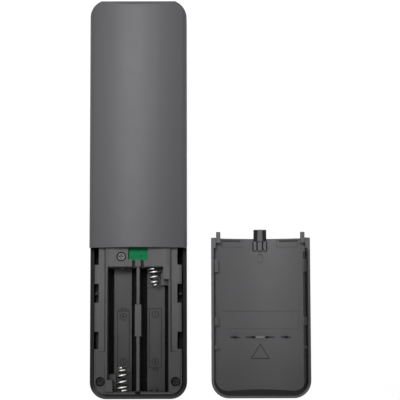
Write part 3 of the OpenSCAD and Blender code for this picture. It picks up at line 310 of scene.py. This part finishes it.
def finish(name, colour, rough, metal=0.0, specular=0.5, mottle=0.05, blotch=0.01, grain=0.0002,
           relief=0.000012, rough_span=0.06, spots=()):
    """A moulded, painted or plated surface: a mottled colour, an uneven gloss and a fine grain.
    blotch and grain are sizes in metres. spots are pairs of another colour and its mask, which here paint
    shade and light."""
    made = bpy.data.materials.new(name)
    made.use_nodes = True
    t = made.node_tree
    shader = t.nodes["Principled BSDF"]
    shader.inputs["Metallic"].default_value = metal
    shader.inputs["Specular IOR Level"].default_value = specular
    place = add(t, "ShaderNodeTexCoord")
    large = add(t, "ShaderNodeTexNoise", Scale=1 / blotch, Detail=4.0, Roughness=0.6)
    fine = add(t, "ShaderNodeTexNoise", Scale=1 / grain, Detail=2.0, Roughness=0.55)
    for noise in (large, fine):
        t.links.new(place.outputs["Object"], noise.inputs["Vector"])

    base = linear(*colour)
    tint = add(t, "ShaderNodeMix", data_type="RGBA")
    tint.inputs[6].default_value = (*(c * (1 - mottle) for c in base), 1)
    tint.inputs[7].default_value = (*(c * (1 + mottle) for c in base), 1)
    t.links.new(large.outputs["Fac"], tint.inputs[0])
    shown = tint.outputs[2]
    for shade, mask in spots:
        other = add(t, "ShaderNodeMix", data_type="RGBA", blend_type="MULTIPLY")
        other.inputs[7].default_value = (*(a / b for a, b in zip(linear(*shade), base)), 1)
        t.links.new(mask(t, place), other.inputs[0])
        t.links.new(shown, other.inputs[6])
        shown = other.outputs[2]
    t.links.new(shown, shader.inputs["Base Color"])

    gloss = add(t, "ShaderNodeMapRange")
    gloss.inputs["From Min"].default_value = 0.3
    gloss.inputs["From Max"].default_value = 0.7
    gloss.inputs["To Min"].default_value = rough - rough_span
    gloss.inputs["To Max"].default_value = rough + rough_span
    t.links.new(large.outputs["Fac"], gloss.inputs["Value"])
    t.links.new(gloss.outputs["Result"], shader.inputs["Roughness"])

    dent = add(t, "ShaderNodeBump", Strength=0.5, Distance=relief)
    t.links.new(fine.outputs["Fac"], dent.inputs["Height"])
    t.links.new(dent.outputs["Normal"], shader.inputs["Normal"])
    return made


COVER_MIDDLE = (0.048, -0.046, 0.0)
WALL_END = -0.0205
FACING_UP = 0.05

# Painted shade on the floor of the gutters, and painted light on the bottom end
FRONT_PAINTED_SHADE_AND_LIGHT = [
    ((18, 18, 19), low_floor(0.0072)),
    ((106, 106, 108), before(-0.0762, soft=0.003, above=0.003)),
]
# Painted shade on the strips and other low floors, on the walls, darker towards the bottom end, and on the
# posts deep in the notches
TRAY_PAINTED_SHADE = [
    ((94, 94, 95), low_floor(0.006)),
    ((80, 80, 81), upright()),
    ((92, 92, 93), before(-0.075, soft=0.045)),
    ((38, 38, 39), strip(low=-0.02, high=-0.0155, end=0.0, below=0.0078)),
    ((38, 38, 39), strip(low=0.0155, high=0.02, end=0.0, below=0.0078)),
]
# Painted shade on the inner walls, along the right wall and on its rim, and on the left hooks
COVER_PAINTED_SHADE = [
    ((60, 60, 62), upright(COVER_MIDDLE)),
    ((30, 30, 32), strip(low=0.0649, high=0.0663, end=WALL_END, below=0.0092, lean=FACING_UP)),
    ((88, 88, 90), strip(low=0.0664, high=0.0690, end=WALL_END, below=0.02, lean=FACING_UP)),
    ((96, 96, 98), strip(low=0.0297, high=0.0317, end=WALL_END, below=0.0084, lean=LOOKS_UP, above=0.0072)),
]
# Painted shade on the lower half of each spring, and on the two screws at the bottom
SPRING_PAINTED_SHADE = [((60, 60, 59), strip(low=-0.02, high=0.02, end=0.0, below=0.0096))]
SCREW_PAINTED_SHADE = [((44, 44, 46), before(-0.045))]

# For each look, its colour, its roughness and what else sets it apart
LOOK_ROWS = {
    "rear_plastic": ((89, 88, 92), 0.5, dict(specular=0.58, mottle=0.02, blotch=0.004, rough_span=0.02)),
    "front_plastic": ((50, 50, 53), 0.6, dict(specular=0.1, spots=FRONT_PAINTED_SHADE_AND_LIGHT)),
    "tray_plastic": ((110, 110, 111), 0.55, dict(specular=0.35, spots=TRAY_PAINTED_SHADE)),
    "cover_plastic": ((117, 117, 119), 0.46, dict(specular=0.36, spots=COVER_PAINTED_SHADE)),
    "board": ((20, 158, 98), 0.55, dict(specular=0.1, mottle=0.08, blotch=0.0015, grain=0.0004,
                                        relief=0.000006)),
    "trace": ((40, 150, 96), 0.5, dict(specular=0.15, blotch=0.002)),
    "pins": ((205, 175, 105), 0.3, dict(metal=1.0, grain=0.0001, relief=0.000003)),
    "membrane": ((150, 150, 146), 0.7, dict(specular=0.3)),
    "chip": ((30, 30, 32), 0.6, dict(specular=0.35)),
    "can": ((180, 182, 186), 0.35, dict(metal=1.0)),
    "capacitor": ((38, 40, 74), 0.4, {}),
    "lamp": ((92, 70, 110), 0.12, {}),
    "ir_window": ((26, 10, 16), 0.12, dict(relief=0.000002)),
    "light_pipe": ((222, 222, 218), 0.2, {}),
    # The plates' nickel is set much darker than the spring wire's: painted shade for plates that sit low in
    # the bay
    "contact_metal": ((50, 49, 48), 0.55, dict(metal=1.0, mottle=0.08, blotch=0.002, grain=0.0001,
                                               relief=0.000004)),
    "spring_wire": ((214, 214, 210), 0.36, dict(metal=1.0, blotch=0.001, grain=0.0001, relief=0.000003,
                                                spots=SPRING_PAINTED_SHADE)),
    "screw_steel": ((84, 84, 84), 0.5, dict(metal=1.0, mottle=0.08, blotch=0.001, grain=0.0001,
                                            relief=0.000004, spots=SCREW_PAINTED_SHADE)),
    "key_plastic": ((40, 40, 43), 0.45, dict(specular=0.4)),
    "red_keys": ((176, 32, 34), 0.42, {}),
    "green_keys": ((28, 122, 58), 0.42, {}),
    "yellow_keys": ((214, 178, 34), 0.42, {}),
    "blue_keys": ((34, 70, 160), 0.42, {}),
    "ink": ((206, 206, 202), 0.55, dict(specular=0.3, relief=0.000004)),
    "mark": ((78, 78, 79), 0.65, dict(specular=0.15)),
    # The next three looks: the cover's serves its moulded signs and the painted shade in the lip's grooves,
    # the dark one is painted shade, and the pale one a painted highlight
    "cover_mark_and_groove_shade": ((78, 78, 80), 0.65, dict(specular=0.2)),
    "painted_shade_mark": ((44, 44, 47), 0.65, dict(specular=0.15)),
    "painted_highlight_mark": ((172, 172, 174), 0.6, dict(specular=0.2)),
}
LOOKS = {name: finish(name, colour, rough, **more) for name, (colour, rough, more) in LOOK_ROWS.items()}
SLOT_OF = {row["node"]: row["material_slot"] for row in frame["record"]["subparts"]}
for name, node in nodes.items():
    node.data.materials.clear()
    node.data.materials.append(LOOKS[SLOT_OF[name]])


# Rounded edges on the moulded and stamped pieces

JOIN_WITHIN = 0.000002
SMOOTH_ANGLE = math.radians(32)
FLAT_ANGLE = math.radians(0.3)
ROUNDED_ANGLE = math.radians(38)
BEVEL_SEGMENTS = 2
NORMAL_WEIGHT = 80


def smooth_group():
    """Joins the split corners of a node and shades it smooth, apart from its sharp edges."""
    group = bpy.data.node_groups.new("smooth_by_angle", "GeometryNodeTree")
    group.is_modifier = True
    group.interface.new_socket("Geometry", in_out="INPUT", socket_type="NodeSocketGeometry")
    group.interface.new_socket("Geometry", in_out="OUTPUT", socket_type="NodeSocketGeometry")
    start = add(group, "NodeGroupInput")
    merge = add(group, "GeometryNodeMergeByDistance", Distance=JOIN_WITHIN)
    angle = add(group, "GeometryNodeInputMeshEdgeAngle")
    sharp = add(group, "FunctionNodeCompare", operation="GREATER_THAN", data_type="FLOAT")
    sharp.inputs["B"].default_value = SMOOTH_ANGLE
    normal = add(group, "GeometryNodeSetMeshNormal", mode="SHARPNESS")
    normal.inputs["Remove Custom"].default_value = True
    end = add(group, "NodeGroupOutput")
    group.links.new(start.outputs[0], merge.inputs["Geometry"])
    group.links.new(merge.outputs[0], normal.inputs["Mesh"])
    group.links.new(angle.outputs["Unsigned Angle"], sharp.inputs["A"])
    group.links.new(sharp.outputs["Result"], normal.inputs["Edge Sharpness"])
    group.links.new(normal.outputs[0], end.inputs[0])
    return group


SMOOTH = smooth_group()


def soften(node, width, merge_flats):
    """Smooth shading, and edges rounded to a width in mm. merge_flats joins the faces of one plane first."""
    join = node.modifiers.new("join", "NODES")
    join.node_group = SMOOTH
    if not width:
        return
    if merge_flats:
        flat = node.modifiers.new("flat", "DECIMATE")
        flat.decimate_type = "DISSOLVE"
        flat.angle_limit = FLAT_ANGLE
    edge = node.modifiers.new("edge", "BEVEL")
    edge.limit_method = "ANGLE"
    edge.angle_limit = ROUNDED_ANGLE
    edge.width = width * MM
    edge.segments = BEVEL_SEGMENTS
    edge.use_clamp_overlap = False
    edge.miter_outer = "MITER_SHARP"
    even = node.modifiers.new("even", "WEIGHTED_NORMAL")
    even.mode = "FACE_AREA"
    even.weight = NORMAL_WEIGHT
    even.keep_sharp = False


KEY_EDGE = 0.15
EDGES = {
    "rear_shell": 0.12,
    "front_shell": 0.12,
    "battery_tray": 0.12,
    "battery_cover": 0.12,
    "contact_board": 0.05,
    "positive_plate": 0.06,
    "negative_plate": 0.06,
    "bridge_plate": 0.06,
    "ir_window": 0.1,
    "case_screws": 0.08,
}
for name, node in nodes.items():
    is_key = SLOT_OF[name].endswith(("key_plastic", "_keys"))
    soften(node, EDGES.get(name, KEY_EDGE if is_key else 0), merge_flats=name != "battery_tray")


# Pieces made here

CREASE = math.radians(40)


def piece(name, points, faces, look, body):
    """A mesh in metres that rides on a body."""
    mesh = bpy.data.meshes.new(name)
    mesh.from_pydata([tuple(p) for p in points], [], faces)
    shape = bmesh.new()
    shape.from_mesh(mesh)
    bmesh.ops.recalc_face_normals(shape, faces=shape.faces)
    shape.to_mesh(mesh)
    shape.free()
    mesh.shade_smooth()
    mesh.set_sharp_from_angle(angle=CREASE)
    mesh.materials.append(LOOKS[look])
    made = bpy.data.objects.new(name, mesh)
    scene.collection.objects.link(made)
    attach(made, body)
    return made


# Springs

STEPS_A_TURN = 28
WIRE_SIDES = 10


def smooth_through(values, t):
    """A smooth curve through values at t = 0, 1, 2 and so on."""
    last = len(values) - 1
    k = min(int(t), last - 1)
    f = t - k
    p1, p2 = values[k], values[k + 1]
    p0 = values[k - 1] if k > 0 else 2 * p1 - p2
    p3 = values[k + 2] if k + 2 <= last else 2 * p2 - p1
    square = 2 * p0 - 5 * p1 + 4 * p2 - p3
    cube = 3 * p1 - p0 - 3 * p2 + p3
    return 0.5 * (2 * p1 + (p2 - p0) * f + square * f * f + cube * f**3)


def spring(name, base, way, heights, wide, narrow, wire):
    """Round wire wound up from its plate; heights are where the wire passes the top, one for each turn.
    wide and narrow are its outside diameters at the plate and at the tip, in mm."""
    turns = len(heights) - 1
    count, sides = STEPS_A_TURN * turns, WIRE_SIDES
    line = []
    for i in range(count + 1):
        t = i / STEPS_A_TURN
        a = math.radians(90) - math.radians(360) * t * way
        r = (wide + (narrow - wide) * t / turns - wire) / 2
        reach = way * smooth_through(heights, t)
        line.append(Vector((base[0] + r * math.cos(a), base[1] + reach, base[2] + r * math.sin(a))))
    points, faces = [], []
    for i, p in enumerate(line):
        along = (line[min(i + 1, count)] - line[max(i - 1, 0)]).normalized()
        out = Vector((p.x - base[0], 0, p.z - base[2])).normalized()
        out = (out - along * out.dot(along)).normalized()
        up = along.cross(out)
        for k in range(sides):
            a = 2 * math.pi * k / sides
            points.append((p + wire / 2 * (math.cos(a) * out + math.sin(a) * up)) * MM)
    for i in range(count):
        for k in range(sides):
            j = (k + 1) % sides
            faces.append((i * sides + k, i * sides + j, (i + 1) * sides + j, (i + 1) * sides + k))
    faces.append(tuple(reversed(range(sides))))
    faces.append(tuple(range(count * sides, (count + 1) * sides)))
    return piece(name, points, faces, "spring_wire", "remote")


SPRING_SIZE = dict(wide=5.4, narrow=3.8, wire=0.6)
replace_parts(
    spring("bridge_spring_wire", (-6.25, -75.2, 9.95), 1, (0.3, 1.5, 3.7, 6.2, 8.1, 9.1), **SPRING_SIZE),
    "bridge_spring",
)
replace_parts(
    spring("negative_spring_wire", (6.25, -27.3, 9.95), -1, (0.3, 1.5, 3.4, 5.4, 6.6), **SPRING_SIZE),
    "negative_spring",
)


# Printed and moulded marks, and painted shade and painted highlight: thin lines and patches that lie on a
# surface, in mm

RING_STEPS = 28
# How far a line's outer corner may reach out: the least cosine of half the turn there
SHARPEST = 0.4


def arc(x, y, r, start, end, steps=16):
    turn = [math.radians(start + (end - start) * i / steps) for i in range(steps + 1)]
    return [(x + r * math.cos(a), y + r * math.sin(a)) for a in turn]


def ring(x, y, r):
    return arc(x, y, r, 0, 360, RING_STEPS)[:-1]


def turned(path, degrees):
    c, s = math.cos(math.radians(degrees)), math.sin(math.radians(degrees))
    return [(c * u - s * v, s * u + c * v) for u, v in path]


def same(u, v):
    return u, v


def edges_of(path, width, closed):
    """The left and right edges of a line of that width."""
    points = [Vector(p) for p in path]
    last = len(points) - 1
    left, right = [], []
    for i, p in enumerate(points):
        to_next = (points[(i + 1) % len(points)] - p).normalized() if closed or i < last else None
        to_here = (p - points[i - 1]).normalized() if closed or i > 0 else to_next
        if to_next is None:
            to_next = to_here
        n1, n2 = Vector((-to_here.y, to_here.x)), Vector((-to_next.y, to_next.x))
        middle = (n1 + n2).normalized()
        reach = width / 2 / max(middle.dot(n1), SHARPEST)
        left.append(p + middle * reach)
        right.append(p - middle * reach)
    return left, right


def mark(name, surface, look, body, lines=(), loops=(), patches=(), place=same, out=1, width=0.38, rise=0.02,
         sink=0.03):
    """One piece made of open lines, closed loops and filled patches. place turns them into X and Y, surface
    gives the height they lie on and out is the way that the surface faces."""
    points, faces = [], []

    def point(p, lift):
        x, y = place(*p)
        points.append(Vector((x, y, surface(x, y) + out * lift)) * MM)

    for path, closed in [(q, False) for q in lines] + [(q, True) for q in loops]:
        start = len(points)
        left, right = edges_of(path, width, closed)
        for a, b in zip(left, right):
            for p, lift in ((a, rise), (b, rise), (b, -sink), (a, -sink)):
                point(p, lift)
        count = len(left)
        for i in range(count if closed else count - 1):
            a, b = start + 4 * i, start + 4 * ((i + 1) % count)
            faces += [(a + k, a + (k + 1) % 4, b + (k + 1) % 4, b + k) for k in range(4)]
        if not closed:
            last = start + 4 * (count - 1)
            faces += [tuple(range(start, start + 4)), tuple(range(last, last + 4))]
    for path in patches:
        start, count = len(points), len(path)
        for lift in (rise, -sink):
            for p in path:
                point(p, lift)
            point((sum(p[0] for p in path) / count, sum(p[1] for p in path) / count), lift)
        low = start + count + 1
        for i in range(count):
            j = (i + 1) % count
            faces += [(start + i, start + j, start + count), (low + i, low + j, low + count),
                      (start + i, start + j, low + j, low + i)]
    return piece(name, points, faces, look, body)


def level(height):
    """A flat surface at that height."""
    return lambda x, y: height


# Signs on the keys

KEY_TOP = 0.25
DOME = 26.0


def dome(cx, cy):
    """The domed front of a key that has its middle there."""
    return lambda x, y: KEY_TOP + DOME - math.sqrt(DOME**2 - (x - cx) ** 2 - (y - cy) ** 2)


def middle_of(node):
    low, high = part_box(node)
    return (low[0] + high[0]) / 2 / MM, (low[1] + high[1]) / 2 / MM


CHEVRON = [(-1.0, -0.5), (0, 0.5), (1.0, -0.5)]
PAD = [(u, v + 9.7) for u, v in CHEVRON]
PAD_TURNS = {"up_key": 0, "left_key": 90, "down_key": 180, "right_key": 270}
# Each legend as seen from the front: open lines, closed loops and filled patches
LEGENDS = {
    "power_key": ([arc(0, -0.1, 1.55, 122, 418, 24), [(0, 0.4), (0, 1.9)]], [], []),
    "voice_key": (
        [arc(0, 0.35, 1.25, 180, 360), [(0, -0.9), (0, -1.6)], [(-0.7, -1.7), (0.7, -1.7)]],
        [],
        [arc(0, 1.3, 0.65, 0, 180, 8) + arc(0, 0.4, 0.65, 180, 360, 8)],
    ),
    "source_key": (
        [
            [(-0.3, 1.4), (1.7, 1.4), (1.7, -1.4), (-0.3, -1.4)],
            [(-1.8, 0), (0.6, 0)],
            [(-0.2, 0.7), (0.6, 0), (-0.2, -0.7)],
        ],
        [],
        [],
    ),
    "ok_key": ([], [ring(0, 0, 1.9)], []),
    "back_key": (
        [
            [(-1.5, 0.6)] + arc(0.6, -0.25, 0.85, 90, -90, 10) + [(-0.6, -1.1)],
            [(-0.7, 1.4), (-1.5, 0.6), (-0.7, -0.2)],
        ],
        [],
        [],
    ),
    "home_key": (
        [[(-1.8, 0.0), (0, 1.6), (1.8, 0.0)], [(-1.2, 0.2), (-1.2, -1.5), (1.2, -1.5), (1.2, 0.2)]],
        [],
        [],
    ),
    "menu_key": ([[(-1.5, v), (1.5, v)] for v in (1.1, 0, -1.1)], [], []),
    "mute_key": (
        [[(0.5, 0.6), (1.7, -0.6)], [(0.5, -0.6), (1.7, 0.6)]],
        [],
        [[(-1.7, 0.5), (-1.0, 0.5), (-0.1, 1.2), (-0.1, -1.2), (-1.0, -0.5), (-1.7, -0.5)]],
    ),
    "info_key": ([[(0, 0.3), (0, -0.95)]], [ring(0, 0, 1.75)], [ring(0, 0.85, 0.26)]),
    "rewind_key": (
        [],
        [],
        [[(-1.9, 0), (-0.05, 1.1), (-0.05, -1.1)], [(0.05, 0), (1.9, 1.1), (1.9, -1.1)]],
    ),
    "play_key": (
        [[(0.7, 1.1), (0.7, -1.1)], [(1.6, 1.1), (1.6, -1.1)]],
        [],
        [[(-1.7, 1.1), (-1.7, -1.1), (0.1, 0)]],
    ),
    "forward_key": (
        [],
        [],
        [[(1.9, 0), (0.05, 1.1), (0.05, -1.1)], [(-0.05, 0), (-1.9, 1.1), (-1.9, -1.1)]],
    ),
    "volume_rocker": (
        [[(-1.1, 6), (1.1, 6)], [(0, 4.9), (0, 7.1)], [(-1.1, -6), (1.1, -6)]],
        [],
        [[(-1.6, -0.7), (1.6, -0.7), (1.6, 0.8)]],
    ),
    "channel_rocker": (
        [[(u, v + 6) for u, v in CHEVRON], [(u, -v - 6) for u, v in CHEVRON], [(-0.7, -1.5), (0.7, -1.5)]],
        [[(-1.5, 0.9), (1.5, 0.9), (1.5, -0.9), (-1.5, -0.9)]],
        [],
    ),
}
for name, degrees in PAD_TURNS.items():
    LEGENDS[name] = ([turned(PAD, degrees)], [], [])
for name, (lines, loops, patches) in LEGENDS.items():
    cx, cy = middle_of("ok_key" if name in PAD_TURNS else name)
    flat = name in PAD_TURNS or name.endswith("rocker")
    mark(
        name + "_legend", level(KEY_TOP) if flat else dome(cx, cy), "ink", name, lines, loops, patches,
        place=lambda u, v, cx=cx, cy=cy: (cx - u, cy + v), out=-1,
    )

# Signs in the battery bay

STRIP_Z = 4.7
SIGN_IN, SIGN_R, SIGN_ARM = 2.3, 1.3, 0.75
NUB_HALF, NUB_UP = 0.9, 0.9


def cell_sign(name, x0, x1, y0, y1, way):
    """A cell's outline with its nub, a bar in a ring at the flat end and a cross in a ring at the nub's."""
    cx = (x0 + x1) / 2
    nub, flat_end = (y1, y0) if way > 0 else (y0, y1)
    tip = nub + way * NUB_UP
    plus, minus = nub - way * SIGN_IN, flat_end + way * SIGN_IN
    return mark(
        name, level(STRIP_Z), "mark", "remote",
        lines=[
            [(cx - NUB_HALF, nub), (cx - NUB_HALF, tip), (cx + NUB_HALF, tip), (cx + NUB_HALF, nub)],
            [(cx, minus - SIGN_ARM), (cx, minus + SIGN_ARM)],
            [(cx, plus - SIGN_ARM), (cx, plus + SIGN_ARM)],
            [(cx - SIGN_ARM, plus), (cx + SIGN_ARM, plus)],
        ],
        loops=[[(x0, y0), (x1, y0), (x1, y1), (x0, y1)], ring(cx, minus, SIGN_R), ring(cx, plus, SIGN_R)],
        width=0.44,
    )


cell_sign("left_cell_sign", -8.35, -3.75, -66.2, -43.9, 1)
cell_sign("right_cell_sign", 4.15, 8.95, -66.2, -43.0, -1)

# The triangle on the cover's inner side, which is part of a cylinder

COVER_X = 48.0
FLOOR_AXIS_Z = 48.3
FLOOR_R = 46.4


def cover_floor(x, y):
    return FLOOR_AXIS_Z - math.sqrt(FLOOR_R**2 - (x - COVER_X) ** 2)


mark("cover_triangle", cover_floor, "cover_mark_and_groove_shade", "battery_cover",
     loops=[[(48.0, -57.1), (44.4, -62.7), (51.4, -62.7)]], width=0.32)

# Lines and rings that lie on the tray and on the inner side of the cover

SKY = 40.0


def top_of(name):
    """Heights of a node's upper side."""
    mesh = nodes[name].data
    corners = [v.co for v in mesh.vertices]
    solid = BVHTree.FromPolygons(corners, [list(face.vertices) for face in mesh.polygons])
    return lambda x, y: solid.ray_cast(Vector((x, y, SKY)) * MM, Vector((0, 0, -1)))[0].z / MM


tray_top, cover_inside = top_of("battery_tray"), top_of("battery_cover")
BOTH_SIDES = (-1, 1)

# Painted shade: dark lines along the tray's rails and across their ends
RAIL_X, RAIL_OUT, RAIL_LOW, RAIL_STEPS = 12.9, 16.6, -59.8, 40
rail_shade_lines = []
for way in BOTH_SIDES:
    rail_shade_lines.append([(way * RAIL_X, RAIL_LOW + i) for i in range(RAIL_STEPS + 1)])
    rail_shade_lines.append([(way * (RAIL_X + 0.3), RAIL_LOW), (way * RAIL_OUT, RAIL_LOW)])
mark("rail_shade_lines", tray_top, "painted_shade_mark", "remote", lines=rail_shade_lines, width=0.28)

# Painted shade: dark rings round the heads of the screws
SCREWS, RING_R = ((-6.5, -23.0), (-14.6, -71.5), (14.6, -71.5)), 1.63
mark("screw_rings", tray_top, "painted_shade_mark", "remote", loops=[ring(x, y, RING_R) for x, y in SCREWS], width=0.3)

# Painted shade on the latch's flanks and comb and in the grooves of the lip, and the crescent over the round
# mark
HEAD_IN, HEAD_OUT, HEAD_LOW, HEAD_HIGH = 1.05, 2.5, -16.4, -11.95
COMB_X, COMB_HIGH, COMB_LOW = (-2.75, -1.1, 1.1, 2.75), HEAD_LOW - 0.3, -20.0
GROOVE_X, GROOVE_STEP, GROOVE_STEPS, GROOVE_Y = 7.7, 0.9, 8, -16.3
FLANK = ((HEAD_IN, HEAD_LOW), (HEAD_OUT, HEAD_LOW), (HEAD_OUT, HEAD_HIGH), (HEAD_IN, HEAD_HIGH))
mark("latch_flanks", cover_inside, "painted_shade_mark", "battery_cover",
     patches=[[(COVER_X + way * u, v) for u, v in FLANK] for way in BOTH_SIDES])
mark("latch_comb", cover_inside, "painted_shade_mark", "battery_cover",
     lines=[[(COVER_X + u, COMB_HIGH), (COVER_X + u, COMB_LOW)] for u in COMB_X], width=0.42)
mark("lip_grooves", cover_inside, "cover_mark_and_groove_shade", "battery_cover",
     lines=[[(COVER_X + way * (GROOVE_X + GROOVE_STEP * i), GROOVE_Y) for i in range(GROOVE_STEPS + 1)]
            for way in BOTH_SIDES],
     width=0.6)
mark("cover_crescent", cover_inside, "cover_mark_and_groove_shade", "battery_cover",
     lines=[arc(COVER_X, -23.5, 1.95, 62, 118, 8)], width=0.3)

# Painted shade: dark spindles of the cross rib and of its two side ribs; painted highlight: the pale block in
# the middle
RIB_Y, RIB_TOP, SIDE_RIB_TOP = -54.3, 2.5, 3.74
BLOCK_HALF, BLOCK_DEEP, BLOCK_TOP = 1.75, 0.5, 2.72
SWELL = ((0.0, 0.1), (0.55, 0.2), (0.85, 0.42), (1.0, 0.45))


def spindle(x, ends):
    """A rib that swells at x; ends are its two tips."""
    first = [(COVER_X + ends[0] + (x - ends[0]) * f, w) for f, w in SWELL]
    second = [(COVER_X + ends[1] + (x - ends[1]) * f, w) for f, w in SWELL]
    upper = first + second[-2::-1]
    lower = second + first[-2::-1]
    return [(u, RIB_Y + w) for u, w in upper] + [(u, RIB_Y - w) for u, w in lower]


mark("rib_spindles", level(RIB_TOP), "painted_shade_mark", "battery_cover",
     patches=[spindle(-2.3, (-6.0, -1.9)), spindle(2.2, (5.4, 1.9))], sink=0.75)
mark("side_rib_spindles", level(SIDE_RIB_TOP), "painted_shade_mark", "battery_cover",
     patches=[spindle(-10.2, (-12.0, -8.3)), spindle(10.2, (7.9, 11.9))], sink=1.3)
mark("rib_block", level(BLOCK_TOP), "painted_highlight_mark", "battery_cover",
     patches=[[(COVER_X + u * BLOCK_HALF, RIB_Y + v * BLOCK_DEEP) for u, v in SQUARE]], sink=0.85)

# Traces and pads on the contact board

BOARD_TOP = 12.5
TRACES = [
    [(-2.6, -19.6), (-2.6, -22.0), (-1.9, -22.7), (-1.9, -23.9)],
    [(-0.6, -19.6), (-0.6, -21.0), (0.4, -22.0), (0.4, -23.9)],
    [(1.2, -19.6), (1.2, -23.9)],
    [(3.2, -19.6), (3.2, -21.4), (2.2, -22.4), (2.2, -23.9)],
]
PADS = [ring(-1.9, -23.2, 0.45), ring(1.2, -22.6, 0.4)]
mark("board_traces", level(BOARD_TOP), "trace", "remote", lines=TRACES, patches=PADS, width=0.3)
